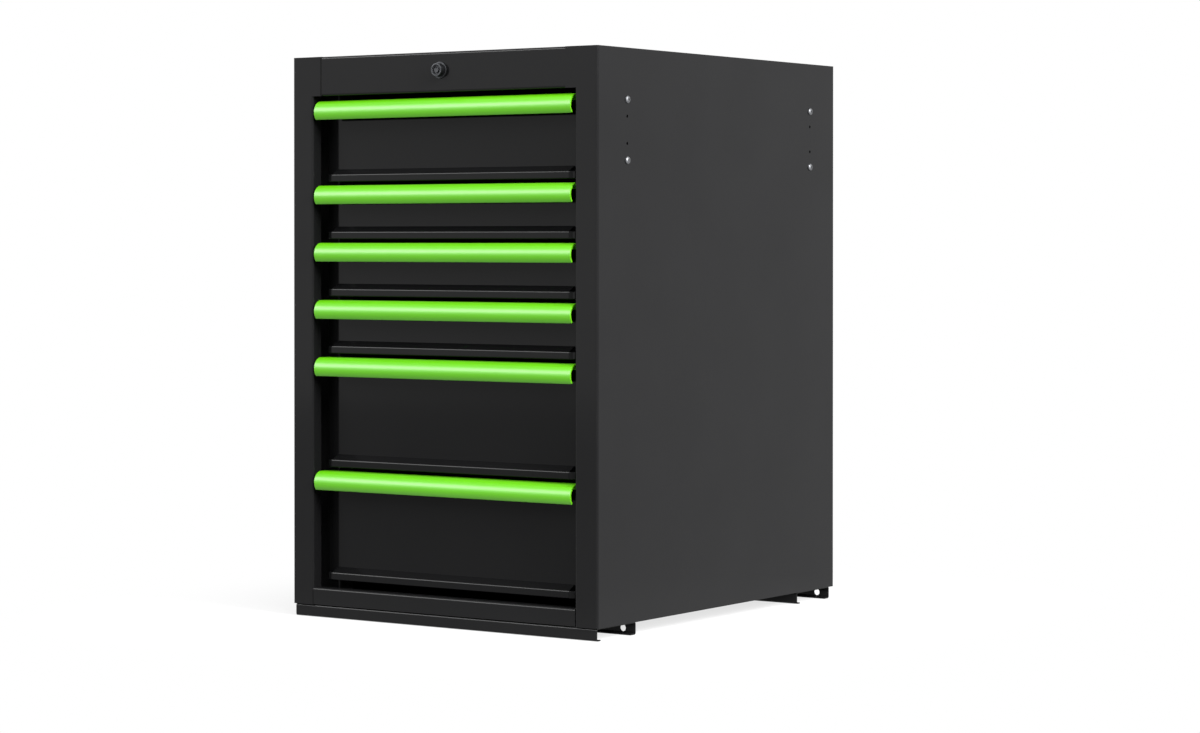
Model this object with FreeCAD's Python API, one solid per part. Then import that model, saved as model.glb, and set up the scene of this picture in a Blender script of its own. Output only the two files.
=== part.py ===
"""Six-drawer steel workshop cabinet on two foot rails, with one central lock.

Millimetres, +Z up. X runs left to right as seen from the front, and Y from the
front to the back. While it is built, y = 0 is the front face of the casing and
z = 0 is the underside of the foot rails. Saving moves every piece along Y, so
that the origin is under the middle of the whole cabinet, lock included. One STEP
file is written for each named piece.
"""
import FreeCAD, Part
import math
import os

from FreeCAD import Vector

# ---- casing ----------------------------------------------------------------
casing_width = 500.0
casing_depth = 600.0
casing_sheet = 1.5
bend_inside_radius = 1.5
stile_width = 35.0
stile_return = 17.0
rear_flange = 22.0
top_rail_height = 53.0
bottom_rail_height = 23.5
rail_flange = 20.0
corner_tab = 15.0
panel_flange = 15.0

# ---- foot rails ------------------------------------------------------------
foot_rail_height = 16.5
foot_rail_width = 90.0
foot_rail_inset = 3.0
foot_rail_front_y = 2.4
foot_rail_rear_gap = 8.6
foot_rail_front_lip = 9.0
foot_rail_rear_lip = 12.0
foot_hole_diameter = 9.0
foot_hole_edge = 22.0
foot_hole_height = 7.5
rivet_diameter = 5.0
rivet_head_diameter = 10.0
rivet_head_height = 1.6
rivet_edge = 50.0
rivet_spacing_y = 30.0
rivet_hole_clearance = 0.2

# ---- posts, side screws and the holes beside them ---------------------------
post_face = 36.5
post_width = 30.0
post_sheet = 1.2
post_edge_gap = 68.0
screw_head_diameter = 9.8
screw_head_height = 3.0
screw_diameter = 5.0
screw_length = 10.0
screw_hole_clearance = 0.25
screw_spacing = 78.2
small_hole_diameter = 4.0
small_hole_spacing = 35.0
hole_pattern_drop = 105.7

# ---- drawers, from the top one down ----------------------------------------
drawer_front_heights = (108.8, 72.2, 72.2, 72.2, 148.8, 147.6)
upper_gap = 6.8
drawer_gap = 5.2
lower_gap = 10.0
front_side_gap = 4.0
front_face_y = 28.5
front_depth = 11.5
front_sheet = 1.2
lip_height = 10.0
lip_face_y = 15.5
lip_slope_height = 7.0
lip_half_length = 195.0
lip_cap_rounding = 3.0
box_sheet = 1.2
box_rise = 8.0
box_top_drop = 10.0
box_back_gap = 16.0
box_hem = 8.0

# ---- handles ---------------------------------------------------------------
handle_height = 25.3
handle_side_gap = 4.5
handle_nose_y = -4.0
handle_crown_y = 8.0
handle_foot_y = 0.0
handle_nose_drop = 14.0
handle_wall = 2.4
handle_web_height = 8.0
handle_foot_slope = 1.0

# ---- telescopic slides -----------------------------------------------------
slide_front_y = 42.0
slide_rear_gap = 58.0
slide_space = 12.7
slide_height = 45.0
slide_sheet = 1.2
slide_running_gap = 0.4
slide_rise = 26.0
outer_flange = 8.0
middle_web_place = 3.4
middle_flange = 6.0
inner_flange = 5.0

# ---- central lock ----------------------------------------------------------
lock_drop = 24.1
lock_collar_diameter = 22.3
lock_collar_height = 2.0
lock_barrel_diameter = 17.5
lock_projection = 9.0
lock_barrel_length = 18.0
lock_plug_diameter = 12.0
lock_running_gap = 0.1
lock_hole_clearance = 0.2
key_groove_outer_diameter = 10.6
key_groove_inner_diameter = 6.4
key_groove_depth = 6.0
key_notch_width = 1.6
lock_nut_width = 24.0
lock_nut_height = 4.0
lock_rod_diameter = 8.0
crank_radius = 9.0
crank_disc_radius = 13.0
crank_thickness = 3.0
crank_pin_diameter = 5.0
crank_pin_length = 9.0
crank_back_gap = 4.0
rod_bracket_gap = 28.0
rod_bracket_width = 30.0
rod_bracket_sheet = 2.0
rod_bracket_foot = 12.0
rod_bracket_below = 9.0

# ---- lock bar and its hooks --------------------------------------------------
bar_width = 20.0
bar_thickness = 3.0
bar_rear_gap = 18.0
bar_tail = 10.0
bar_head_width = 34.0
bar_head_height = 18.0
bar_slot_play = 0.3
crank_slot_slack = 2.3
guide_sheet = 1.5
guide_gap = 0.4
guide_front_gap = 0.5
guide_lip = 4.0
guide_height = 30.0
guide_foot = 12.0
guide_rise = 40.0
guided_drawers = (1, 4, 6)
hook_width = 8.0
hook_thickness = 3.0
hook_tip_height = 12.0
hook_reach = 12.5
catch_width = 14.0
catch_sheet = 1.5
catch_tab_gap = 7.5
catch_tab_height = 10.0
catch_rise = 34.0
hook_clearance = 2.0

# ---- places that follow from the sizes ---------------------------------------
half_width = casing_width / 2
inside_half_width = half_width - casing_sheet
opening_half_width = half_width - stile_width
casing_base = foot_rail_height
opening_bottom = casing_base + bottom_rail_height
drawer_stack = sum(drawer_front_heights) + drawer_gap * (len(drawer_front_heights) - 1)
opening_top = opening_bottom + lower_gap + drawer_stack + upper_gap
casing_top = opening_top + top_rail_height
rear_inside_y = casing_depth - casing_sheet
panel_rear_y = rear_inside_y - bend_inside_radius
panel_half_width = inside_half_width - bend_inside_radius
back_panel_inside_y = rear_inside_y - casing_sheet
post_inner_x = inside_half_width - post_face
box_half_width = post_inner_x - slide_space
front_half_width = opening_half_width - front_side_gap
handle_half_length = opening_half_width - handle_side_gap
lock_axis_z = casing_top - lock_drop
origin_y = (casing_depth - lock_projection) / 2
hole_pattern_z = casing_top - hole_pattern_drop
post_places_y = (post_edge_gap, casing_depth - post_edge_gap)
foot_rail_rear_y = casing_depth - foot_rail_rear_gap - foot_rail_width
foot_hole_spacing = casing_width - 2 * foot_hole_edge
rivet_spacing_x = casing_width - 2 * rivet_edge
slide_length = casing_depth - slide_front_y - slide_rear_gap
bar_front_y = casing_depth - bar_rear_gap
box_back_y = bar_front_y - box_back_gap
crank_back_y = bar_front_y - crank_back_gap
rod_bracket_y = bar_front_y - rod_bracket_gap
hook_tip_y = bar_front_y - hook_reach
catch_tab_y = bar_front_y - catch_tab_gap

os.makedirs("parts", exist_ok=True)


# ---- shape helpers -----------------------------------------------------------
def box(x_span, y_span, z_span):
    """A block between two values on each axis."""
    size = [span[1] - span[0] for span in (x_span, y_span, z_span)]
    return Part.makeBox(*size, Vector(x_span[0], y_span[0], z_span[0]))


def rod(diameter, start, direction, length):
    """A round bar from a start point."""
    return Part.makeCylinder(diameter / 2, length, Vector(*start), Vector(*direction))


def mirrored(shape):
    """The same shape on the other side of the cabinet."""
    return shape.mirror(Vector(0, 0, 0), Vector(1, 0, 0))


def both_sides(shape):
    """A shape and its mirror image as separate solids."""
    return [shape, mirrored(shape)]


def fused(shapes):
    """One solid from pieces that share faces or overlap."""
    return shapes[0].multiFuse(shapes[1:]).removeSplitter()


def unit(start, end):
    """Direction from one 2-D point to another."""
    across = end[0] - start[0]
    along = end[1] - start[1]
    distance = math.hypot(across, along)
    return (across / distance, along / distance)


def side_point(point, before, after, offset):
    """Where a bent sheet's other face has its corner, to the right of the path."""
    right_before = (before[1], -before[0])
    right_after = (after[1], -after[0])
    cosine = right_before[0] * right_after[0] + right_before[1] * right_after[1]
    scale = offset / (1 + cosine)
    return (
        point[0] + scale * (right_before[0] + right_after[0]),
        point[1] + scale * (right_before[1] + right_after[1]),
    )


def face_corners(path, offset):
    """The path's corners, moved to the right by the sheet's thickness."""
    directions = [unit(a, b) for a, b in zip(path, path[1:])]
    corners = []
    for number, point in enumerate(path):
        before = directions[max(number - 1, 0)]
        after = directions[min(number, len(directions) - 1)]
        corners.append(side_point(point, before, after, offset))
    return corners


def rounded_path(corners, radii, place):
    """Straight edges and tangent arcs along a row of corners."""
    edges = []
    last = corners[0]
    for corner, radius, following in zip(corners[1:-1], radii, corners[2:]):
        arriving = unit(last, corner)
        leaving = unit(corner, following)
        cosine = arriving[0] * leaving[0] + arriving[1] * leaving[1]
        turn = math.acos(max(-1.0, min(1.0, cosine)))
        reach = radius * math.tan(turn / 2)
        start = (corner[0] - arriving[0] * reach, corner[1] - arriving[1] * reach)
        end = (corner[0] + leaving[0] * reach, corner[1] + leaving[1] * reach)
        bisector = (leaving[0] - arriving[0], leaving[1] - arriving[1])
        length = math.hypot(*bisector)
        sag = radius / math.cos(turn / 2) - radius
        middle = (corner[0] + bisector[0] / length * sag, corner[1] + bisector[1] / length * sag)
        edges.append(Part.LineSegment(place(*last), place(*start)).toShape())
        edges.append(Part.Arc(place(*start), place(*middle), place(*end)).toShape())
        last = end
    edges.append(Part.LineSegment(place(*last), place(*corners[-1])).toShape())
    return edges


def bent_sheet(path, thickness, place, sweep):
    """A folded sheet: path is its outer face, with the metal to the path's right.

    Every corner of the path turns to the right, so the arcs there are the sheet's
    outside bends and the other face has the inside radius.
    """
    bends = len(path) - 2
    outer = rounded_path(path, [bend_inside_radius + thickness] * bends, place)
    inner_corners = face_corners(path, thickness)
    inner = rounded_path(inner_corners, [bend_inside_radius] * bends, place)
    start_cap = Part.LineSegment(place(*path[0]), place(*inner_corners[0])).toShape()
    end_cap = Part.LineSegment(place(*path[-1]), place(*inner_corners[-1])).toShape()
    wire = Part.Wire(Part.__sortEdges__(outer + [end_cap] + inner + [start_cap]))
    return Part.Face(wire).extrude(Vector(*sweep))


def plan_place(height):
    """Turns (x, y) into a point at one height."""
    return lambda x, y: Vector(x, y, height)


def section_place(x):
    """Turns (y, z) into a point at one x."""
    return lambda y, z: Vector(x, y, z)


def polygon(points, place, sweep):
    """A prism on a straight-sided outline."""
    corners = [place(*point) for point in points]
    return Part.Face(Part.makePolygon(corners + corners[:1])).extrude(Vector(*sweep))


def save(name, shapes):
    """Write one piece, or one group of like pieces, under its node name."""
    solids = [solid for shape in shapes for solid in shape.Solids]
    shape = solids[0].copy() if len(solids) == 1 else Part.makeCompound(solids)
    shape.translate(Vector(0, -origin_y, 0))
    shape.exportStep(f"parts/{name}.step")


# ---- casing pieces -------------------------------------------------------------
def left_side_panel():
    """Side wall with the front stile, its return and a rear flange."""
    rear_end = (-half_width + rear_flange, casing_depth)
    lower_path = [
        (-opening_half_width, stile_return),
        (-opening_half_width, 0),
        (-half_width, 0),
        (-half_width, casing_depth),
        rear_end,
    ]
    upper_path = [(-opening_half_width + corner_tab, 0)] + lower_path[2:]
    lower_height = opening_top - casing_base
    lower = bent_sheet(lower_path, casing_sheet, plan_place(casing_base), (0, 0, lower_height))
    upper = bent_sheet(upper_path, casing_sheet, plan_place(opening_top), (0, 0, top_rail_height))
    panel = fused([lower, upper])
    return panel.cut(Part.makeCompound(side_holes(-half_width)))


def side_holes(outer_x):
    """Screw holes and the small plain holes through one side wall."""
    reach = 2 * casing_sheet
    start_x = outer_x - casing_sheet if outer_x < 0 else outer_x - reach + casing_sheet
    holes = []
    for y in post_places_y:
        for row in range(2):
            screw_z = hole_pattern_z + (row - 0.5) * screw_spacing
            small_z = hole_pattern_z + (row - 0.5) * small_hole_spacing
            screw_hole = screw_diameter + 2 * screw_hole_clearance
            holes.append(rod(screw_hole, (start_x, y, screw_z), (1, 0, 0), reach * 1.5))
            holes.append(rod(small_hole_diameter, (start_x, y, small_z), (1, 0, 0), reach * 1.5))
    return holes


def top_rail():
    """Front rail over the drawers, with the hole for the lock and a leaf over each corner."""
    path = [(stile_return, opening_top), (0, opening_top), (0, casing_top), (rail_flange, casing_top)]
    half_length = opening_half_width - corner_tab
    rail = bent_sheet(path, casing_sheet, section_place(-half_length), (2 * half_length, 0, 0))
    hole = lock_barrel_diameter + 2 * lock_hole_clearance
    rail = rail.cut(rod(hole, (0, -casing_sheet, lock_axis_z), (0, 1, 0), 3 * casing_sheet))
    leaf_z = (casing_top - casing_sheet, casing_top)
    leaf = box((-panel_half_width, -half_length), (casing_sheet, rail_flange), leaf_z)
    return fused([rail] + both_sides(leaf))


def bottom_rail():
    """Front rail under the drawers."""
    path = [(rail_flange, casing_base), (0, casing_base), (0, opening_bottom), (stile_return, opening_bottom)]
    length = 2 * opening_half_width
    return bent_sheet(path, casing_sheet, section_place(-opening_half_width), (length, 0, 0))


def top_panel():
    """Flat top with flanges turned down at the front and the back."""
    low = casing_top - panel_flange
    path = [(rail_flange, low), (rail_flange, casing_top), (panel_rear_y, casing_top), (panel_rear_y, low)]
    return bent_sheet(path, casing_sheet, section_place(-inside_half_width), (2 * inside_half_width, 0, 0))


def bottom_panel():
    """Floor with flanges turned up at the front and the back."""
    high = casing_base + panel_flange
    path = [
        (panel_rear_y, high),
        (panel_rear_y, casing_base),
        (rail_flange, casing_base),
        (rail_flange, high),
    ]
    panel = bent_sheet(path, casing_sheet, section_place(-inside_half_width), (2 * inside_half_width, 0, 0))
    return panel.cut(Part.makeCompound(rivet_holes()))


def back_panel():
    """Flat back behind the drawers, inside the side walls' rear flanges."""
    z_span = (casing_base + panel_flange, casing_top - panel_flange)
    return box((-panel_half_width, panel_half_width), (back_panel_inside_y, rear_inside_y), z_span)


def post(y_centre):
    """Channel post on the left, open towards the side wall, that carries the slides."""
    y_span = (y_centre - post_width / 2, y_centre + post_width / 2)
    path = [
        (-inside_half_width, y_span[1]),
        (-post_inner_x, y_span[1]),
        (-post_inner_x, y_span[0]),
        (-inside_half_width, y_span[0]),
    ]
    height = casing_top - casing_base - 2 * casing_sheet
    return bent_sheet(path, post_sheet, plan_place(casing_base + casing_sheet), (0, 0, height))


# ---- foot rails ------------------------------------------------------------------
def rivet_places():
    """Where the foot rails are riveted to the floor."""
    return [
        (x, rail_y + foot_rail_width / 2 + side * rivet_spacing_y / 2)
        for rail_y in (foot_rail_front_y, foot_rail_rear_y)
        for x in (-rivet_spacing_x / 2, rivet_spacing_x / 2)
        for side in (-1, 1)
    ]


def rivet_holes():
    """Clearance holes for the rivets through rail and floor."""
    start_z = casing_base - 2 * casing_sheet
    hole = rivet_diameter + 2 * rivet_hole_clearance
    return [rod(hole, (x, y, start_z), (0, 0, 1), 4 * casing_sheet) for x, y in rivet_places()]


def foot_rail(front_y):
    """Lipped channel, open downwards, with one hole near each end of its rear web."""
    rear_y = front_y + foot_rail_width
    path = [
        (front_y + foot_rail_front_lip, 0),
        (front_y, 0),
        (front_y, foot_rail_height),
        (rear_y, foot_rail_height),
        (rear_y, 0),
        (rear_y - foot_rail_rear_lip, 0),
    ]
    half_length = half_width - foot_rail_inset
    rail = bent_sheet(path, casing_sheet, section_place(-half_length), (2 * half_length, 0, 0))
    start = (-foot_hole_spacing / 2, rear_y - 2 * casing_sheet, foot_hole_height)
    holes = both_sides(rod(foot_hole_diameter, start, (0, 1, 0), 3 * casing_sheet))
    return rail.cut(Part.makeCompound(holes + rivet_holes()))


def rivet(x, y):
    """Round-headed rivet, closed on top of the floor."""
    rail_under = casing_base - casing_sheet
    floor_top = casing_base + casing_sheet
    head = rod(rivet_head_diameter, (x, y, rail_under - rivet_head_height), (0, 0, 1), rivet_head_height)
    shank = rod(rivet_diameter, (x, y, rail_under), (0, 0, 1), floor_top - rail_under)
    closed_head = rod(rivet_head_diameter, (x, y, floor_top), (0, 0, 1), rivet_head_height)
    return fused([head, shank, closed_head])


def side_screw(y, z):
    """Pan-head screw in the left side wall."""
    head = rod(screw_head_diameter, (-half_width - screw_head_height, y, z), (1, 0, 0), screw_head_height)
    rim = [edge for edge in head.Edges if abs(edge.CenterOfMass.x + half_width + screw_head_height) < 0.01]
    head = head.makeFillet(screw_head_height * 0.6, rim)
    shank = rod(screw_diameter, (-half_width, y, z), (1, 0, 0), screw_length)
    return fused([head, shank])


# ---- slides ------------------------------------------------------------------------
def channel(wall_x, web_place, flange, half_height, z_centre):
    """One left slide member: web against wall_x + web_place, flanges towards the drawer."""
    web_x = (wall_x + web_place, wall_x + web_place + slide_sheet)
    flange_x = (web_x[0], web_x[1] + flange)
    y_span = (slide_front_y, slide_front_y + slide_length)
    web = box(web_x, y_span, (z_centre - half_height, z_centre + half_height))
    top = box(flange_x, y_span, (z_centre + half_height - slide_sheet, z_centre + half_height))
    bottom = box(flange_x, y_span, (z_centre - half_height, z_centre - half_height + slide_sheet))
    return fused([web, top, bottom])


def outer_slide(z_centre):
    """Member fixed to the left posts."""
    return channel(-post_inner_x, 0, outer_flange, slide_height / 2, z_centre)


def middle_slide(z_centre):
    """Left member that travels half as far as the drawer."""
    half_height = slide_height / 2 - slide_sheet - slide_running_gap
    return channel(-post_inner_x, middle_web_place, middle_flange, half_height, z_centre)


def inner_slide(z_centre):
    """Member fixed to the left side of the drawer, its flanges towards the post."""
    half_height = slide_height / 2 - 2 * (slide_sheet + slide_running_gap)
    member = channel(0, 0, inner_flange, half_height, z_centre)
    turned = mirrored(member)
    turned.translate(Vector(-box_half_width, 0, 0))
    return turned


# ---- drawers -----------------------------------------------------------------------
def drawer_levels():
    """Bottom and top height of every drawer front, from the top drawer down."""
    levels = []
    top = opening_top - upper_gap
    for front_height in drawer_front_heights:
        levels.append((top - front_height, top))
        top -= front_height + drawer_gap
    return levels


def drawer_front(low, high):
    """Flanged front pan with the sloping skirt and lip folded along its lower edge."""
    x_span = (-front_half_width, front_half_width)
    y_span = (front_face_y, front_face_y + front_depth)
    top = high - handle_wall
    pan = box(x_span, y_span, (low, top))
    hollow = box(
        (x_span[0] + front_sheet, x_span[1] - front_sheet),
        (y_span[0] + front_sheet, y_span[1]),
        (low + front_sheet, top - front_sheet),
    )
    skirt_outline = [
        (front_face_y, low),
        (lip_face_y, low),
        (lip_face_y, low + lip_height),
        (front_face_y, low + lip_height + lip_slope_height),
    ]
    slope = unit(skirt_outline[2], skirt_outline[3])
    drop = front_sheet / slope[0]
    inner_outline = [
        (front_face_y, low + front_sheet),
        (lip_face_y + front_sheet, low + front_sheet),
        (lip_face_y + front_sheet, low + lip_height - drop + front_sheet * slope[1] / slope[0]),
        (front_face_y, low + lip_height + lip_slope_height - drop),
    ]
    place = section_place(-lip_half_length)
    skirt = polygon(skirt_outline, place, (2 * lip_half_length, 0, 0))
    skirt = skirt.cut(polygon(inner_outline, place, (2 * lip_half_length, 0, 0)))
    return fused([pan.cut(hollow), skirt])


def lip_cap(low):
    """Rounded plug that closes the left end of the lip."""
    radius = front_face_y - lip_face_y
    end_x = -lip_half_length
    place = plan_place(low)
    far = place(end_x - radius, front_face_y)
    near = place(end_x, lip_face_y)
    corner = place(end_x, front_face_y)
    middle = place(end_x - radius * math.sqrt(0.5), front_face_y - radius * math.sqrt(0.5))
    edges = [
        Part.LineSegment(corner, near).toShape(),
        Part.Arc(near, middle, far).toShape(),
        Part.LineSegment(far, corner).toShape(),
    ]
    plug = Part.Face(Part.Wire(edges)).extrude(Vector(0, 0, lip_height))
    rims = [edge for edge in plug.Edges if edge.Curve.TypeId != "Part::GeomLine"]
    return plug.makeFillet(lip_cap_rounding, rims)


def drawer_box(low, high):
    """Open tray with hemmed side walls."""
    floor = low + box_rise
    top = high - box_top_drop
    x_span = (-box_half_width, box_half_width)
    y_span = (front_face_y + front_sheet, box_back_y)
    tray = box(x_span, y_span, (floor, top))
    hollow = box(
        (x_span[0] + box_sheet, x_span[1] - box_sheet),
        (y_span[0], y_span[1] - box_sheet),
        (floor + box_sheet, top),
    )
    hem_x = (-box_half_width + box_sheet, -box_half_width + box_hem)
    hem = box(hem_x, (y_span[0], y_span[1] - box_sheet), (top - box_sheet, top))
    return fused([tray.cut(hollow)] + both_sides(hem))


def catch(floor):
    """Bracket welded to the back of a tray; the hook rises in front of its tab."""
    x_span = (-catch_width / 2, catch_width / 2)
    plate_low = floor + catch_rise - catch_sheet
    plate = box(x_span, (box_back_y, catch_tab_y + catch_sheet), (plate_low, floor + catch_rise))
    tab = box(x_span, (catch_tab_y, catch_tab_y + catch_sheet), (plate_low - catch_tab_height, plate_low))
    return fused([plate, tab])


def handle(high):
    """Full-width hooded handle that is gripped from below."""
    low = high - handle_height
    nose = (handle_nose_y, high - handle_nose_drop)
    place = section_place(-handle_half_length)
    arc_out = Part.Arc(place(handle_crown_y, high), place(*nose), place(handle_foot_y, low))
    inner_high = high - handle_wall
    inner_crown_y = handle_crown_y + handle_foot_slope
    inner_foot = place(handle_foot_y + handle_wall, low + handle_foot_slope)
    arc_in = Part.Arc(place(inner_crown_y, inner_high), place(nose[0] + handle_wall, nose[1]), inner_foot)
    back = front_face_y
    web = front_face_y - handle_wall
    web_low = high - handle_web_height
    corners = [
        (handle_crown_y, high),
        (back, high),
        (back, web_low),
        (web, web_low),
        (web, inner_high),
        (inner_crown_y, inner_high),
    ]
    edges = [Part.LineSegment(place(*a), place(*b)).toShape() for a, b in zip(corners, corners[1:])]
    foot = Part.LineSegment(arc_in.EndPoint, arc_out.EndPoint)
    wire = Part.Wire(Part.__sortEdges__(edges + [arc_in.toShape(), foot.toShape(), arc_out.toShape()]))
    return Part.Face(wire).extrude(Vector(2 * handle_half_length, 0, 0))


# ---- lock ---------------------------------------------------------------------------
def lock_housing():
    """Collared barrel through the top rail."""
    barrel_start = (0, -lock_projection, lock_axis_z)
    barrel = rod(lock_barrel_diameter, barrel_start, (0, 1, 0), lock_projection + lock_barrel_length)
    collar = rod(lock_collar_diameter, (0, -lock_collar_height, lock_axis_z), (0, 1, 0), lock_collar_height)
    bore = lock_plug_diameter + 2 * lock_running_gap
    hole = rod(bore, barrel_start, (0, 1, 0), lock_projection + lock_barrel_length)
    return fused([barrel, collar]).cut(hole)


def lock_plug():
    """Turning plug with the ring groove of a tubular key; its tail carries the rod."""
    face = (0, -lock_projection, lock_axis_z)
    length = lock_projection + lock_barrel_length + casing_sheet
    plug = rod(lock_plug_diameter, face, (0, 1, 0), length)
    groove = rod(key_groove_outer_diameter, face, (0, 1, 0), key_groove_depth)
    groove = groove.cut(rod(key_groove_inner_diameter, face, (0, 1, 0), key_groove_depth))
    notch = box(
        (-key_notch_width / 2, key_notch_width / 2),
        (-lock_projection, -lock_projection + key_groove_depth),
        (lock_axis_z + key_groove_inner_diameter / 4, lock_axis_z + key_groove_outer_diameter / 2),
    )
    return plug.cut(groove).cut(notch)


def lock_nut():
    """Hexagon nut that clamps the housing to the rail."""
    corner_radius = lock_nut_width / math.sqrt(3)
    angles = [math.radians(60 * number) for number in range(6)]
    points = [(corner_radius * math.cos(a), lock_axis_z + corner_radius * math.sin(a)) for a in angles]
    nut = polygon(points, lambda x, z: Vector(x, casing_sheet, z), (0, lock_nut_height, 0))
    hole = lock_barrel_diameter + 2 * lock_hole_clearance
    return nut.cut(rod(hole, (0, 0, lock_axis_z), (0, 1, 0), 2 * (casing_sheet + lock_nut_height)))


def lock_rod():
    """Long rod from the plug to the back, ending in a crank with its pin."""
    start_y = lock_barrel_length + casing_sheet
    shaft = rod(lock_rod_diameter, (0, start_y, lock_axis_z), (0, 1, 0), crank_back_y - start_y)
    disc_start = crank_back_y - crank_thickness
    disc = rod(2 * crank_disc_radius, (0, disc_start, lock_axis_z), (0, 1, 0), crank_thickness)
    pin = rod(crank_pin_diameter, (-crank_radius, crank_back_y, lock_axis_z), (0, 1, 0), crank_pin_length)
    return fused([shaft, disc, pin])


def rod_bracket():
    """Angle bracket under the top panel that bears the rod's rear end."""
    x_span = (-rod_bracket_width / 2, rod_bracket_width / 2)
    ceiling = casing_top - casing_sheet
    leaf_y = (rod_bracket_y, rod_bracket_y + rod_bracket_sheet)
    leaf = box(x_span, leaf_y, (lock_axis_z - rod_bracket_below, ceiling))
    foot = box(x_span, (leaf_y[0], leaf_y[0] + rod_bracket_foot), (ceiling - rod_bracket_sheet, ceiling))
    bore = lock_rod_diameter + 2 * lock_running_gap
    return fused([leaf, foot]).cut(rod(bore, (0, 0, lock_axis_z), (0, 1, 0), casing_depth))


def lock_bar(bottom):
    """Upright bar behind the drawers, with a slotted head round the crank pin."""
    y_span = (bar_front_y, bar_front_y + bar_thickness)
    strip_top = lock_axis_z - bar_head_height / 2
    strip = box((-bar_width / 2, bar_width / 2), y_span, (bottom, strip_top))
    head = box((-bar_head_width / 2, bar_head_width / 2), y_span, (strip_top, strip_top + bar_head_height))
    pin_radius = crank_pin_diameter / 2
    slot = box(
        (-crank_radius - pin_radius - bar_slot_play, pin_radius + bar_slot_play),
        y_span,
        (lock_axis_z - pin_radius - bar_slot_play, lock_axis_z + pin_radius + crank_slot_slack),
    )
    return fused([strip, head]).cut(slot)


def lock_hook(floor):
    """Hook on the bar: the arm passes under the drawer's catch and the tip stands up."""
    catch_low = floor + catch_rise - catch_sheet - catch_tab_height
    tip_top = catch_low - hook_clearance
    x_span = (-hook_width / 2, hook_width / 2)
    arm_z = (tip_top - hook_tip_height, tip_top - hook_tip_height + hook_thickness)
    arm = box(x_span, (hook_tip_y, bar_front_y), arm_z)
    tip = box(x_span, (hook_tip_y, hook_tip_y + hook_thickness), (arm_z[0], tip_top))
    return fused([arm, tip])


def bar_guide(low):
    """Channel on the back panel that the bar slides in."""
    inner = bar_width / 2 + guide_gap
    outer = inner + guide_sheet
    lip_y = bar_front_y - guide_front_gap - guide_sheet
    back = back_panel_inside_y
    points = [
        (-outer - guide_foot, back),
        (-outer - guide_foot, back - guide_sheet),
        (-outer, back - guide_sheet),
        (-outer, lip_y),
        (-inner + guide_lip, lip_y),
        (-inner + guide_lip, lip_y + guide_sheet),
        (-inner, lip_y + guide_sheet),
        (-inner, back),
    ]
    half = polygon(points, plan_place(low), (0, 0, guide_height))
    bridge = box((-inner, inner), (back - guide_sheet, back), (low, low + guide_height))
    return fused([half, mirrored(half), bridge])


# ---- write every piece -----------------------------------------------------------------
side = left_side_panel()
save("side_panel_left", [side])
save("side_panel_right", [mirrored(side)])
save("top_rail", [top_rail()])
save("bottom_rail", [bottom_rail()])
save("top_panel", [top_panel()])
save("bottom_panel", [bottom_panel()])
save("back_panel", [back_panel()])
for place_name, post_y in zip(("front", "rear"), post_places_y):
    upright = post(post_y)
    save(f"post_{place_name}_left", [upright])
    save(f"post_{place_name}_right", [mirrored(upright)])
save("foot_rail_front", [foot_rail(foot_rail_front_y)])
save("foot_rail_rear", [foot_rail(foot_rail_rear_y)])
save("foot_rail_rivets", [rivet(x, y) for x, y in rivet_places()])
screws = [
    side_screw(y, hole_pattern_z + (row - 0.5) * screw_spacing)
    for y in post_places_y
    for row in range(2)
]
save("side_screws", screws + [mirrored(screw) for screw in screws])

save("lock_housing", [lock_housing()])
save("lock_nut", [lock_nut()])
save("lock_plug", [lock_plug()])
save("lock_rod", [lock_rod()])
save("lock_rod_bracket", [rod_bracket()])
drawer_floors = [low + box_rise for low, _ in drawer_levels()]
save("lock_bar", [lock_bar(drawer_floors[-1] - bar_tail)])
save("lock_bar_guides", [bar_guide(drawer_floors[number - 1] + guide_rise) for number in guided_drawers])

hooks = []
outer_slides = []
for number, (low, high) in enumerate(drawer_levels(), start=1):
    slide_z = low + box_rise + slide_rise
    hooks.append(lock_hook(low + box_rise))
    outer_slides.append(outer_slide(slide_z))
    save(f"drawer_{number}_box", [drawer_box(low, high), catch(low + box_rise)])
    save(f"drawer_{number}_front", [drawer_front(low, high)])
    save(f"drawer_{number}_lip_caps", both_sides(lip_cap(low)))
    save(f"drawer_{number}_handle", [handle(high)])
    save(f"drawer_{number}_inner_slides", both_sides(inner_slide(slide_z)))
    save(f"middle_slides_{number}", both_sides(middle_slide(slide_z)))
save("lock_hooks", hooks)
save("outer_slides", outer_slides + [mirrored(slide) for slide in outer_slides])
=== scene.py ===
import math

import bmesh
import bpy
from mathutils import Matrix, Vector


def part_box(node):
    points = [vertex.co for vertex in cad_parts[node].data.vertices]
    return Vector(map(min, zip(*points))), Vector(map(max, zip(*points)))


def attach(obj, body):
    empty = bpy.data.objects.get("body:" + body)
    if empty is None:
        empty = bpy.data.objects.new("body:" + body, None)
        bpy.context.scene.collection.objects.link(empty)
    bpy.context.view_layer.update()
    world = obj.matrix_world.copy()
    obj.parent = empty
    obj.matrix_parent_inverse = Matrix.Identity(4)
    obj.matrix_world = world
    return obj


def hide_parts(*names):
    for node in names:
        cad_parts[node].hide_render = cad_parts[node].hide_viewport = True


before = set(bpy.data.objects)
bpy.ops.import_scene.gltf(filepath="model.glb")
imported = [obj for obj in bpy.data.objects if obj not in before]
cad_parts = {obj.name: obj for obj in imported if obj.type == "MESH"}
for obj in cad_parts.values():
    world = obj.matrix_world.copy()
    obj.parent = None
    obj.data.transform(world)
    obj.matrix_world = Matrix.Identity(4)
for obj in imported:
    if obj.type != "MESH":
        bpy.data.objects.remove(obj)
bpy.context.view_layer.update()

bpy.ops.object.select_all(action="DESELECT")

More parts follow.
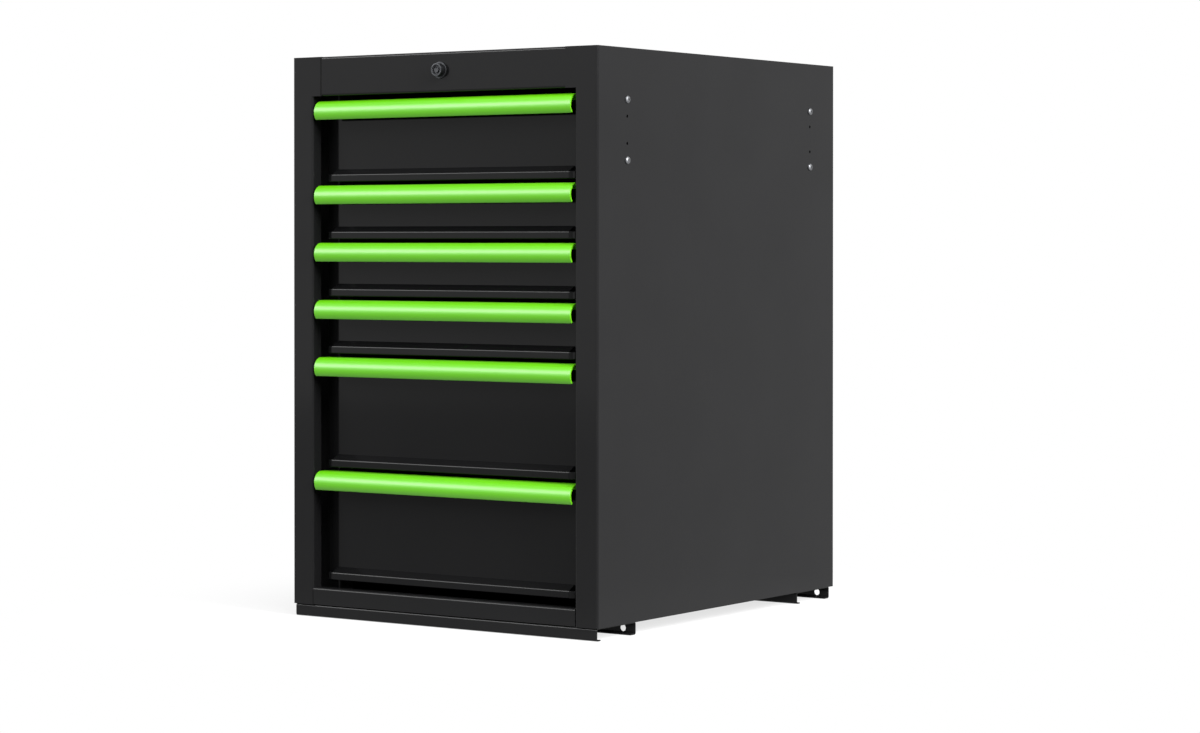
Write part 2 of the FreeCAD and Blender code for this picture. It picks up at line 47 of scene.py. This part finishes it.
# ---- camera ----------------------------------------------------------------------
# A long lens to the right of the cabinet's front corner, at two thirds of its height.
# It looks almost level, and its shift lowers the view, so upright edges stay upright.
camera_data = bpy.data.cameras.new("view_camera")
camera_data.sensor_width = 36
camera_data.lens = 93.345
camera_data.shift_x = 0.0333
camera_data.shift_y = -0.0852
camera = bpy.data.objects.new("view_camera", camera_data)
camera.location = (2.4651, -3.5596, 0.5105)
camera.rotation_euler = (math.radians(89.551), 0, math.radians(34.853))
bpy.context.scene.collection.objects.link(camera)
bpy.context.scene.camera = camera

# ---- casing ----------------------------------------------------------------------
# Side walls with their front stiles, a rail over and under the drawers, flat panels for
# the top, the floor and the back, and two foot rails, all folded from steel sheet. The
# black powder coat is baked on, so it is glossy with a fine orange peel.
casing_nodes = [
    "side_panel_right", "top_rail", "bottom_rail", "top_panel", "bottom_panel", "back_panel",
    "foot_rail_front", "foot_rail_rear",
]


def feed(tree, value, socket):
    """Link a node's output to a socket, or set the socket to a plain number or colour."""
    if isinstance(value, bpy.types.NodeSocket):
        tree.links.new(value, socket)
    else:
        socket.default_value = value


def noise(tree, place, scale, detail):
    """A noise pattern on a place vector, with its scale per metre."""
    texture = tree.nodes.new("ShaderNodeTexNoise")
    feed(tree, place, texture.inputs["Vector"])
    feed(tree, scale, texture.inputs["Scale"])
    feed(tree, detail, texture.inputs["Detail"])
    return texture.outputs["Fac"]


def ranged(tree, value, low, high, start=0.3, end=0.7, shape="LINEAR"):
    """Low to high as a value runs from start to end. Noise mostly runs from 0.3 to 0.7."""
    stretch = tree.nodes.new("ShaderNodeMapRange")
    stretch.interpolation_type = shape
    sockets = ("Value", "From Min", "From Max", "To Min", "To Max")
    for name, amount in zip(sockets, (value, start, end, low, high)):
        feed(tree, amount, stretch.inputs[name])
    return stretch.outputs["Result"]


def mixed_colour(tree, share, first, second):
    """A colour that goes from the first to the second as the share goes from 0 to 1."""
    mix = tree.nodes.new("ShaderNodeMix")
    mix.data_type = "RGBA"
    for name, amount in (("Factor", share), ("A", first), ("B", second)):
        feed(tree, amount, mix.inputs[name])
    return mix.outputs["Result"]


def bumped(tree, height, depth):
    """A normal that follows a height pattern of a depth in metres."""
    bump = tree.nodes.new("ShaderNodeBump")
    feed(tree, height, bump.inputs["Height"])
    feed(tree, depth, bump.inputs["Distance"])
    return bump.outputs["Normal"]


def surface_group(name, second_colour, depth):
    """A group with two colours, a roughness range and a depth in, and a surface out."""
    group = bpy.data.node_groups.new(name, "ShaderNodeTree")
    inputs = {
        "Colour": "NodeSocketColor",
        second_colour: "NodeSocketColor",
        "Roughness Low": "NodeSocketFloat",
        "Roughness High": "NodeSocketFloat",
        depth: "NodeSocketFloat",
    }
    outputs = {
        "Colour": "NodeSocketColor",
        "Roughness": "NodeSocketFloat",
        "Normal": "NodeSocketVector",
    }
    for side, sockets in (("INPUT", inputs), ("OUTPUT", outputs)):
        for label, kind in sockets.items():
            group.interface.new_socket(name=label, in_out=side, socket_type=kind)
    return group


def baked_coat_group():
    """A baked coat: cloudy colour, grainy gloss and the ripples of orange peel."""
    group = surface_group("baked_coat_surface", "Thin Colour", "Peel Depth")
    given = group.nodes.new("NodeGroupInput").outputs
    result = group.nodes.new("NodeGroupOutput").inputs
    place = group.nodes.new("ShaderNodeTexCoord").outputs["Object"]
    clouds = ranged(group, noise(group, place, scale=9.0, detail=3.0), 0.0, 1.0)
    grain = noise(group, place, scale=1400.0, detail=1.0)
    ripples = noise(group, place, scale=420.0, detail=1.0)
    colour = mixed_colour(group, clouds, given["Colour"], given["Thin Colour"])
    gloss = ranged(group, grain, given["Roughness Low"], given["Roughness High"])
    feed(group, colour, result["Colour"])
    feed(group, gloss, result["Roughness"])
    feed(group, bumped(group, ripples, given["Peel Depth"]), result["Normal"])
    return group


baked_coat = baked_coat_group()


def surface_material(name, group, colour, second_colour, roughness, depth):
    """A material that takes its colour, roughness and normal from a surface group."""
    material = bpy.data.materials.new(name)
    material.use_nodes = True
    tree = material.node_tree
    surface = tree.nodes.new("ShaderNodeGroup")
    surface.node_tree = group
    for socket, value in zip(surface.inputs, (colour, second_colour, *roughness, depth)):
        socket.default_value = value
    shader = tree.nodes["Principled BSDF"]
    tree.links.new(surface.outputs["Colour"], shader.inputs["Base Color"])
    tree.links.new(surface.outputs["Roughness"], shader.inputs["Roughness"])
    tree.links.new(surface.outputs["Normal"], shader.inputs["Normal"])
    return material


def coat_material(name, colour, thin_colour, roughness, peel_depth, specular):
    """A baked coat of one colour and gloss."""
    material = surface_material(name, baked_coat, colour, thin_colour, roughness, peel_depth)
    shader = material.node_tree.nodes["Principled BSDF"]
    shader.inputs["Specular IOR Level"].default_value = specular
    return material


def finish_node(node, material):
    """Give a node that keeps its shape a better finish."""
    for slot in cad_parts[node].material_slots:
        slot.material = material


casing_coat = coat_material(
    "black_casing_coat",
    colour=(0.0082, 0.0082, 0.0086, 1),
    thin_colour=(0.0092, 0.0092, 0.0096, 1),
    roughness=(0.08, 0.12),
    peel_depth=0.000004,
    specular=0.095,
)
for node in casing_nodes:
    finish_node(node, casing_coat)

# ---- left wall -------------------------------------------------------------------
# The left wall has the casing's coat. Where its corner tab is welded to the top rail,
# a thin, darker upright line is painted into the coat as painted shade in the seam's crease.
weld_x = -0.2013
seam_shade_half_width = 0.0009
# Painted shade: the near-black colour of the thin line along the seam's crease.
seam_shade_colour = (0.0005, 0.0005, 0.0005, 1)


def calculated(tree, operation, first, second=0):
    """The result of one step of arithmetic on sockets or numbers."""
    step = tree.nodes.new("ShaderNodeMath")
    step.operation = operation
    feed(tree, first, step.inputs[0])
    feed(tree, second, step.inputs[1])
    return step.outputs["Value"]


def coordinates(tree):
    """The X, Y and Z of a point on a piece, as sockets."""
    split = tree.nodes.new("ShaderNodeSeparateXYZ")
    feed(tree, tree.nodes.new("ShaderNodeTexCoord").outputs["Object"], split.inputs["Vector"])
    return split.outputs


left_wall_coat = casing_coat.copy()
left_wall_coat.name = "black_left_wall_coat"
wall_tree = left_wall_coat.node_tree
across = calculated(wall_tree, "SUBTRACT", coordinates(wall_tree)["X"], weld_x)
from_weld = calculated(wall_tree, "ABSOLUTE", across)
off_seam_shade = ranged(
    wall_tree, from_weld, 0.0, 1.0,
    start=seam_shade_half_width, end=seam_shade_half_width * 2, shape="SMOOTHSTEP",
)
wall_surface = next(node for node in wall_tree.nodes if node.type == "GROUP")
# The painted seam shade is mixed into the coat's colour here.
coat_with_seam_shade = mixed_colour(wall_tree, off_seam_shade, seam_shade_colour, wall_surface.outputs["Colour"])
feed(wall_tree, coat_with_seam_shade, wall_tree.nodes["Principled BSDF"].inputs["Base Color"])
finish_node("side_panel_left", left_wall_coat)

# ---- posts and drawer trays ------------------------------------------------------
# Four channel posts inside the walls carry the slides, and each drawer is a tray with
# hemmed sides. They are 1.2 mm sheet under a thinner, flatter coat of the same black.
inner_coat = coat_material(
    "satin_inner_coat",
    colour=(0.01, 0.01, 0.0105, 1),
    thin_colour=(0.014, 0.014, 0.0145, 1),
    roughness=(0.38, 0.48),
    peel_depth=0.00001,
    specular=0.3,
)
drawer_numbers = range(1, 7)
for side in ("left", "right"):
    for end in ("front", "rear"):
        finish_node(f"post_{end}_{side}", inner_coat)
for number in drawer_numbers:
    finish_node(f"drawer_{number}_box", inner_coat)

# ---- slides, rivets and lock works -----------------------------------------------
# Slides, rivets, nut, bracket, rod, bar, hooks and guides are steel with bright zinc
# plate, cloudy and finely brushed from the barrel that it was plated in.
plated_nodes = [
    "foot_rail_rivets", "lock_nut", "lock_rod_bracket", "lock_bar_guides",
    "lock_rod", "lock_bar", "lock_hooks", "outer_slides",
]
for number in drawer_numbers:
    plated_nodes += [f"middle_slides_{number}", f"drawer_{number}_inner_slides"]


def plated_metal_group():
    """Barrel-plated steel: cloudy colour and gloss, and scratches drawn out along X."""
    group = surface_group("plated_metal_surface", "Cloud Colour", "Scratch Depth")
    given = group.nodes.new("NodeGroupInput").outputs
    result = group.nodes.new("NodeGroupOutput").inputs
    place = group.nodes.new("ShaderNodeTexCoord").outputs["Object"]
    drawn_out = group.nodes.new("ShaderNodeMapping")
    feed(group, place, drawn_out.inputs["Vector"])
    feed(group, (60.0, 900.0, 900.0), drawn_out.inputs["Scale"])
    clouds = noise(group, place, scale=160.0, detail=3.0)
    scratches = noise(group, drawn_out.outputs["Vector"], scale=3.0, detail=2.0)
    tint = ranged(group, clouds, 0.0, 1.0)
    colour = mixed_colour(group, tint, given["Colour"], given["Cloud Colour"])
    gloss = ranged(group, clouds, given["Roughness Low"], given["Roughness High"])
    feed(group, colour, result["Colour"])
    feed(group, gloss, result["Roughness"])
    feed(group, bumped(group, scratches, given["Scratch Depth"]), result["Normal"])
    return group


plated_metal = plated_metal_group()


def plated_material(name, colour, cloud_colour, roughness, scratch_depth):
    """Plated steel of one tone and gloss."""
    material = surface_material(
        name, plated_metal, colour, cloud_colour, roughness, scratch_depth
    )
    shader = material.node_tree.nodes["Principled BSDF"]
    shader.inputs["Metallic"].default_value = 1.0
    return material


bright_zinc = plated_material(
    "bright_zinc_plate",
    colour=(0.36, 0.365, 0.38, 1),
    cloud_colour=(0.32, 0.325, 0.34, 1),
    roughness=(0.38, 0.46),
    scratch_depth=0.000004,
)
for node in plated_nodes:
    finish_node(node, bright_zinc)

# ---- side screws -----------------------------------------------------------------
# Eight zinc-plated pan-head screws hold the posts to the side walls. Each is turned
# round its own axis with a crowned head, and a cross recess is pressed into it.
wall_x = 0.25
head_radius = 0.0049
head_height = 0.003
head_rim = 0.0009
shank_radius = 0.0025
shank_length = 0.01
shank_tip = 0.0006
shank_tip_share = 0.8
recess_depth = 0.0018
recess_reach = 0.0026
recess_half_width = 0.00055
recess_foot_share = (0.45, 0.8, 1)
cutter_overshoot = 0.001
first_spin = 0.4
spin_step = 0.9
merge_distance = 0.00001
smallest_radius = 0.000001
dull_zinc = plated_material(
    "dull_zinc_plate",
    colour=(0.17, 0.173, 0.18, 1),
    cloud_colour=(0.13, 0.133, 0.14, 1),
    roughness=(0.42, 0.55),
    scratch_depth=0.000006,
)


def turned_piece(name, rings, sides=48):
    """A round piece about Z: a circle extruded to the radius and height of each ring."""
    rings = [(max(radius, smallest_radius), height) for radius, height in rings]
    radius, height = rings[0]
    bpy.ops.mesh.primitive_circle_add(vertices=sides, radius=radius, location=(0, 0, 0))
    piece = bpy.context.active_object
    piece.name = name
    bpy.ops.object.mode_set(mode="EDIT")
    bpy.ops.mesh.select_all(action="SELECT")
    bpy.ops.transform.translate(value=(0, 0, height))
    for next_radius, next_height in rings[1:]:
        bpy.ops.mesh.extrude_region_move(
            TRANSFORM_OT_translate={"value": (0, 0, next_height - height)}
        )
        scale = next_radius / radius
        bpy.ops.transform.resize(
            value=(scale, scale, 1), center_override=(0, 0, next_height)
        )
        radius, height = next_radius, next_height
    bpy.ops.mesh.select_all(action="SELECT")
    bpy.ops.mesh.remove_doubles(threshold=merge_distance)
    bpy.ops.mesh.normals_make_consistent(inside=False)
    bpy.ops.object.mode_set(mode="OBJECT")
    return piece


def only(piece):
    """Select one object and make it the active one."""
    bpy.ops.object.select_all(action="DESELECT")
    piece.select_set(True)
    bpy.context.view_layer.objects.active = piece


def applied(piece, kind, **settings):
    """Add a modifier with its settings and apply it."""
    only(piece)
    modifier = piece.modifiers.new(kind.lower(), kind)
    for key, value in settings.items():
        setattr(modifier, key, value)
    bpy.ops.object.modifier_apply(modifier=modifier.name)


def smoothed(piece, degrees=35):
    """Smooth shading with sharp edges kept crisp and flat faces kept flat."""
    only(piece)
    bpy.ops.object.shade_smooth_by_angle(angle=math.radians(degrees))
    applied(piece, "WEIGHTED_NORMAL", weight=100, keep_sharp=True)


def placed(piece, location, rotation=(0, 0, 0)):
    """Put a piece in place and bake the place into its mesh."""
    only(piece)
    piece.location = location
    piece.rotation_euler = rotation
    bpy.ops.object.transform_apply(location=True, rotation=True, scale=True)
    return piece


def joined(pieces, name):
    """Several meshes made into one object."""
    bpy.ops.object.select_all(action="DESELECT")
    for piece in pieces:
        piece.select_set(True)
    bpy.context.view_layer.objects.active = pieces[0]
    bpy.ops.object.join()
    whole = bpy.context.active_object
    whole.name = name
    return whole


def stretched_cube(name, low, high):
    """A cube primitive stretched between two corners."""
    middle = [(a + b) / 2 for a, b in zip(low, high)]
    bpy.ops.mesh.primitive_cube_add(size=1, location=middle)
    piece = bpy.context.active_object
    piece.name = name
    piece.scale = [b - a for a, b in zip(low, high)]
    bpy.ops.object.transform_apply(location=True, rotation=True, scale=True)
    return piece


def chosen(piece, kind, test):
    """Edit mode, with only the faces, edges or vertices that pass the test selected."""
    only(piece)
    bpy.ops.object.mode_set(mode="EDIT")
    bpy.ops.mesh.select_mode(type=kind)
    bpy.ops.mesh.select_all(action="DESELECT")
    mesh = bmesh.from_edit_mesh(piece.data)
    for element in {"FACE": mesh.faces, "EDGE": mesh.edges, "VERT": mesh.verts}[kind]:
        if test(element):
            element.select_set(True)
    mesh.select_flush_mode()
    bmesh.update_edit_mesh(piece.data)


def cut_away(piece, tools):
    """Cut tools out of a piece and remove them."""
    for tool in tools:
        applied(piece, "BOOLEAN", operation="DIFFERENCE", solver="EXACT", object=tool)
        bpy.data.objects.remove(tool)


def recess_blade(turn):
    """One of the two tapered blades that cut the cross recess."""
    foot = head_height - recess_depth
    blade = stretched_cube(
        "recess_blade",
        (-recess_reach, -recess_half_width, foot),
        (recess_reach, recess_half_width, head_height + cutter_overshoot),
    )
    chosen(blade, "VERT", lambda vertex: vertex.co.z < head_height)
    bpy.ops.transform.resize(value=recess_foot_share, center_override=(0, 0, foot))
    bpy.ops.object.mode_set(mode="OBJECT")
    return placed(blade, (0, 0, 0), (0, 0, turn))


crown = [
    (
        head_radius * math.cos(math.radians(angle)),
        head_rim + (head_height - head_rim) * math.sin(math.radians(angle)),
    )
    for angle in range(0, 90, 15)
]
screw = turned_piece(
    "screw",
    [
        (0, -shank_length), (shank_radius * shank_tip_share, -shank_length),
        (shank_radius, -shank_length + shank_tip), (shank_radius, 0), (head_radius, 0),
        *crown, (0, head_height),
    ],
)
cut_away(screw, [recess_blade(turn) for turn in (0, math.pi / 2)])
smoothed(screw, 30)
screw_low, screw_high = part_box("side_screws")
screw_places = [
    (y, z)
    for y in (screw_low.y + head_radius, screw_high.y - head_radius)
    for z in (screw_low.z + head_radius, screw_high.z - head_radius)
]
screws = []
for side in (-1, 1):
    for number, (y, z) in enumerate(screw_places):
        twin = screw.copy()
        twin.data = screw.data.copy()
        bpy.context.scene.collection.objects.link(twin)
        spin = first_spin + spin_step * number + side
        placed(twin, (0, 0, 0), (0, 0, spin))
        screws.append(placed(twin, (side * wall_x, y, z), (0, side * math.pi / 2, 0)))
bpy.data.objects.remove(screw)
screws = joined(screws, "side_screw_heads")
screws.data.materials.append(dull_zinc)
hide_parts("side_screws")
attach(screws, "cabinet")

# ---- lock ------------------------------------------------------------------------
# A cam lock for a tubular key: a nickel-plated collar and barrel through the top rail,
# and a plug with a ring groove, a centre post and a notch that guides the key. Both are
# turned from rings of a radius and a height, with height 0 at the lock's face.
lock_sides = 64
groove_outer = 0.0051
groove_inner = 0.0036
groove_floor = -0.0022
notch_half_width = 0.0008
notch_start = 0.002
barrel_rings = [
    (0.0061, -0.0012), (0.0061, -0.027), (0.00875, -0.027), (0.00875, -0.009),
    (0.0109, -0.009), (0.01115, -0.00875), (0.01115, -0.0076), (0.0106, -0.0071),
    (0.0096, -0.007), (0.00875, -0.007), (0.00875, -0.0007), (0.00855, -0.0002),
    (0.0081, 0.0), (0.0068, 0.0), (0.0064, -0.0002), (0.0061, -0.0008),
    (0.0061, -0.0012),
]
plug_rings = [
    (0, -0.0285), (0.006, -0.0285), (0.006, -0.0009), (0.0057, -0.0006),
    (0.0055, -0.0006), (groove_outer, -0.0009), (groove_outer, groove_floor),
    (groove_inner, groove_floor), (groove_inner, -0.0008), (0.0033, -0.0005),
    (0, -0.0005),
]
lock_nickel = plated_material(
    "dark_nickel_plate",
    colour=(0.034, 0.035, 0.037, 1),
    cloud_colour=(0.027, 0.028, 0.03, 1),
    roughness=(0.42, 0.55),
    scratch_depth=0.00001,
)
lock_low, lock_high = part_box("lock_housing")
lock_face = ((lock_low.x + lock_high.x) / 2, lock_low.y, (lock_low.z + lock_high.z) / 2)
facing_front = (math.pi / 2, 0, 0)

barrel = turned_piece("lock_barrel", barrel_rings, lock_sides)
smoothed(barrel, 30)
placed(barrel, lock_face, facing_front)
barrel.data.materials.append(lock_nickel)
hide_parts("lock_housing")
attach(barrel, "cabinet")

plug = turned_piece("lock_key_plug", plug_rings, lock_sides)
notch = stretched_cube(
    "key_notch",
    (-notch_half_width, notch_start, groove_floor),
    (notch_half_width, groove_outer, cutter_overshoot),
)
cut_away(plug, [notch])
smoothed(plug, 30)
placed(plug, lock_face, facing_front)
plug.data.materials.append(lock_nickel)
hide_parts("lock_plug")
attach(plug, "lock_core")

# ---- drawer fronts ---------------------------------------------------------------
# Each front is a shallow pan folded from 1.2 mm sheet. A sloping skirt runs out from its
# lower edge to an upright lip that hides the gap above the next handle.
front_depth = 0.0115
front_sheet = 0.0012
front_bend = 0.00112
lip_half_length = 0.195
lip_height = 0.01
lip_slope_height = 0.007
lip_reach = 0.013
lip_bend = 0.0015
skirt_overlap = 0.0008
skirt_end_drop = 0.0003
pick_reach = 0.0005
drawer_coat = coat_material(
    "black_drawer_coat",
    colour=(0.0048, 0.0048, 0.0051, 1),
    thin_colour=(0.0054, 0.0054, 0.0057, 1),
    roughness=(0.07, 0.1),
    peel_depth=0.000003,
    specular=0.1,
)


def opened(piece, test):
    """Take away the faces that pass the test."""
    chosen(piece, "FACE", test)
    bpy.ops.mesh.delete(type="FACE")
    bpy.ops.object.mode_set(mode="OBJECT")


def bent(piece, width, segments, degrees):
    """Round every edge that is sharper than an angle."""
    applied(
        piece, "BEVEL", width=width, segments=segments,
        limit_method="ANGLE", angle_limit=math.radians(degrees),
    )


def walled(piece, thickness):
    """Give an open shell the thickness of its sheet, inwards."""
    applied(piece, "SOLIDIFY", thickness=thickness, offset=-1, use_even_offset=True)


def centre_of(edge):
    """Middle point of an edge."""
    return (edge.verts[0].co + edge.verts[1].co) / 2


def sloped_box(name, low, high):
    """A box whose rear top edge is lifted to the skirt's slope."""
    piece = stretched_cube(name, low, high)

    def rear_top(edge):
        middle = centre_of(edge)
        return middle.y > high[1] - pick_reach and middle.z > high[2] - pick_reach

    chosen(piece, "EDGE", rear_top)
    rise = (high[1] - low[1]) * lip_slope_height / lip_reach
    bpy.ops.transform.translate(value=(0, 0, rise))
    bpy.ops.object.mode_set(mode="OBJECT")
    return piece


def drawer_front(number):
    """The pan and the skirt with its lip, as one folded piece."""
    node = f"drawer_{number}_front"
    low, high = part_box(node)
    face_y = high.y - front_depth
    lip_y = face_y - lip_reach
    pan = stretched_cube("front_pan", (low.x, face_y, low.z), (high.x, high.y, high.z))
    opened(pan, lambda face: face.normal.y > 0.5)
    bent(pan, front_bend, segments=3, degrees=60)
    walled(pan, front_sheet)
    skirt = sloped_box(
        "front_skirt",
        (-lip_half_length, lip_y, low.z),
        (lip_half_length, face_y + skirt_overlap, low.z + lip_height),
    )
    opened(skirt, lambda face: face.normal.y > 0.5 or abs(face.normal.x) > 0.9)
    bent(skirt, lip_bend, segments=5, degrees=50)
    walled(skirt, front_sheet)
    ends = [
        sloped_box(
            "skirt_end",
            (x - front_sheet / 2, lip_y + lip_bend, low.z + lip_bend),
            (x + front_sheet / 2, face_y + skirt_overlap, low.z + lip_height - skirt_end_drop),
        )
        for x in (-lip_half_length + front_sheet, lip_half_length - front_sheet)
    ]
    front = joined([pan, skirt, *ends], f"drawer_{number}_folded_front")
    smoothed(front)
    front.data.materials.append(drawer_coat)
    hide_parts(node)
    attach(front, f"drawer_{number}")


for number in drawer_numbers:
    drawer_front(number)

# ---- lip ends --------------------------------------------------------------------
# Rounded plugs close both ends of each lip, a quarter circle in plan. They have the
# fronts' black and softly rounded edges.
lip_end_rounding = 0.0026


def lip_end(side):
    """A quarter-round plug at one end of a lip that starts at height 0."""
    bpy.ops.mesh.primitive_cylinder_add(
        vertices=64, radius=lip_reach, depth=lip_height, location=(0, 0, lip_height / 2)
    )
    piece = bpy.context.active_object
    bpy.ops.object.transform_apply(location=True)
    for normal in ((side, 0, 0), (0, -1, 0)):
        bpy.ops.object.mode_set(mode="EDIT")
        bpy.ops.mesh.select_all(action="SELECT")
        bpy.ops.mesh.bisect(
            plane_co=(0, 0, 0), plane_no=normal, use_fill=True, clear_inner=True
        )
        bpy.ops.object.mode_set(mode="OBJECT")
    bent(piece, lip_end_rounding, segments=6, degrees=60)
    return piece


for number in drawer_numbers:
    node = f"drawer_{number}_lip_caps"
    low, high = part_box(node)
    ends = [
        placed(lip_end(side), (side * lip_half_length, high.y, low.z)) for side in (-1, 1)
    ]
    ends = joined(ends, f"drawer_{number}_lip_ends")
    smoothed(ends)
    ends.data.materials.append(drawer_coat)
    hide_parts(node)
    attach(ends, f"drawer_{number}")

# ---- handles ---------------------------------------------------------------------
# A hooded full-width pull of 2.4 mm sheet: a flat flange on the drawer's top edge, a web
# against the front and a crowned nose that is gripped from below, sprayed lime green.
# The nose's arc is placed from the casing's front face and the pull's top.
handle_wall = 0.0024
handle_edge = 0.0004
web_height = 0.008
crown_y = 0.008
arc_centre_y = 0.011276
arc_centre_z = -0.014951
arc_sweep = math.radians(120.19)
arc_steps = 28
casing_front_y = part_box("side_panel_left")[0].y
handle_coat = coat_material(
    "lime_green_coat",
    colour=(0.1, 0.43, 0.002, 1),
    thin_colour=(0.105, 0.445, 0.003, 1),
    roughness=(0.35, 0.39),
    peel_depth=0.000006,
    specular=0.48,
)


def handle(number):
    """One pull, from a flat strip whose edges are folded down and spun."""
    node = f"drawer_{number}_handle"
    low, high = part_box(node)
    strip_front_y = casing_front_y + crown_y
    middle_y = (high.y + strip_front_y) / 2
    bpy.ops.mesh.primitive_plane_add(size=1, location=(0, middle_y, high.z))
    pull = bpy.context.active_object
    pull.scale = (high.x - low.x, high.y - strip_front_y, 1)
    bpy.ops.object.transform_apply(location=True, rotation=True, scale=True)
    chosen(pull, "EDGE", lambda edge: centre_of(edge).y > high.y - pick_reach)
    bpy.ops.mesh.extrude_region_move(TRANSFORM_OT_translate={"value": (0, 0, -web_height)})
    bpy.ops.object.mode_set(mode="OBJECT")
    chosen(pull, "EDGE", lambda edge: centre_of(edge).y < strip_front_y + pick_reach)
    bpy.ops.mesh.spin(
        steps=arc_steps,
        angle=-arc_sweep,
        center=(0, casing_front_y + arc_centre_y, high.z + arc_centre_z),
        axis=(1, 0, 0),
    )
    bpy.ops.mesh.select_all(action="SELECT")
    bpy.ops.mesh.remove_doubles(threshold=merge_distance)
    bpy.ops.mesh.normals_make_consistent(inside=False)
    bpy.ops.object.mode_set(mode="OBJECT")
    # The flat flange has to face up, so that the wall's thickness goes down.
    flange = max(pull.data.polygons, key=lambda face: abs(face.normal.z) * face.area)
    if flange.normal.z < 0:
        bpy.ops.object.mode_set(mode="EDIT")
        bpy.ops.mesh.select_all(action="SELECT")
        bpy.ops.mesh.flip_normals()
        bpy.ops.object.mode_set(mode="OBJECT")
    walled(pull, handle_wall)
    bent(pull, handle_edge, segments=2, degrees=60)
    pull.name = f"drawer_{number}_green_pull"
    smoothed(pull)
    pull.data.materials.append(handle_coat)
    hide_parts(node)
    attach(pull, f"drawer_{number}")


for number in drawer_numbers:
    handle(number)

# ---- floor and room --------------------------------------------------------------
# A pale studio floor that keeps a short shadow round the cabinet and runs out to white,
# in a white room. Camera, mirror and glass rays find the full white, and the room gives
# only a part of it as light.
footprint = (0.25, 0.3)
floor_size = 14
floor_drop = 0.0005
floor_paint = (0.85, 0.85, 0.85, 1)
shadow_reach = 0.4
shadow_share = 0.25
room_light = 0.3


def background_rays(tree):
    """1 for the rays that should find the white background."""
    rays = tree.nodes.new("ShaderNodeLightPath").outputs
    seen = calculated(tree, "MAXIMUM", rays["Is Camera Ray"], rays["Is Glossy Ray"])
    return calculated(tree, "MAXIMUM", seen, rays["Is Transmission Ray"])


bpy.ops.mesh.primitive_plane_add(size=floor_size, location=(0, 0, -floor_drop))
floor = bpy.context.active_object
floor.name = "studio_floor"
floor_material = bpy.data.materials.new("studio_floor_paint")
floor_material.use_nodes = True
floor_tree = floor_material.node_tree
matt = floor_tree.nodes["Principled BSDF"]
matt.inputs["Base Color"].default_value = floor_paint
matt.inputs["Roughness"].default_value = 0.9
matt.inputs["Specular IOR Level"].default_value = 0.0
white = floor_tree.nodes.new("ShaderNodeEmission")
feed(floor_tree, background_rays(floor_tree), white.inputs["Strength"])
place = coordinates(floor_tree)
gaps = []
for axis, half in zip("XY", footprint):
    across = calculated(floor_tree, "ABSOLUTE", place[axis])
    beyond = calculated(floor_tree, "SUBTRACT", across, half)
    gaps.append(calculated(floor_tree, "POWER", calculated(floor_tree, "MAXIMUM", beyond), 2))
away = calculated(floor_tree, "SQRT", calculated(floor_tree, "ADD", *gaps))
fade = ranged(
    floor_tree, away, 1 - shadow_share, 1.0, start=0.0, end=shadow_reach, shape="SMOOTHERSTEP"
)
mixed = floor_tree.nodes.new("ShaderNodeMixShader")
for socket, value in zip(mixed.inputs, (fade, matt.outputs["BSDF"], white.outputs["Emission"])):
    feed(floor_tree, value, socket)
feed(floor_tree, mixed.outputs["Shader"], floor_tree.nodes["Material Output"].inputs["Surface"])
floor.data.materials.append(floor_material)

world = bpy.data.worlds.new("white_room")
bpy.context.scene.world = world
world.use_nodes = True
world_tree = world.node_tree
room = world_tree.nodes["Background"]
room.inputs["Color"].default_value = (1, 1, 1, 1)
strength = ranged(
    world_tree, background_rays(world_tree), room_light, 1.0, start=0.0, end=1.0
)
feed(world_tree, strength, room.inputs["Strength"])

# ---- lamps -----------------------------------------------------------------------
# Six softboxes: the key lamp at the front left, a weak one overhead, one high on the
# camera's side, a strong one at the right, and two low, dim ones that the glossy coat
# mirrors. Each faces a point of the cabinet, and its size is in metres.


def softbox(name, size, brightness, place, target):
    """A rectangular lamp, as bright as a surface of that strength."""
    width, height = size
    data = bpy.data.lights.new(name, "AREA")
    data.shape = "RECTANGLE"
    data.size = width
    data.size_y = height
    data.energy = brightness * math.pi * width * height
    lamp = bpy.data.objects.new(name, data)
    bpy.context.scene.collection.objects.link(lamp)
    lamp.location = place
    across, along, up = (a - b for a, b in zip(place, target))
    tilt = math.atan2(math.hypot(across, along), up)
    lamp.rotation_euler = (tilt, 0, math.atan2(across, -along))


softbox("key_softbox", (3.7, 2.8), 14.0, (-3.96, -4.85, 3.1), (0, -0.3, 0.4))
softbox("overhead_softbox", (1.6, 1.6), 0.3, (-0.4, -0.6, 2.8), (0, 0, 0.4))
softbox("camera_side_softbox", (3.0, 3.0), 7.0, (3.4, -2.9, 4.4), (0, -0.3, 0.4))
softbox("right_softbox", (2.0, 2.0), 29.0, (3.6, -0.4, 2.0), (0.25, 0, 0.4))
softbox("left_wall_softbox", (4.0, 1.8), 0.9, (-3.4, -4.9, 0.9), (0, -0.3, 0.9))
softbox("front_wall_softbox", (4.0, 1.4), 1.3, (3.4, -5.0, 0.7), (0, -0.3, 0.7))

bpy.context.scene.view_settings.view_transform = "Standard"
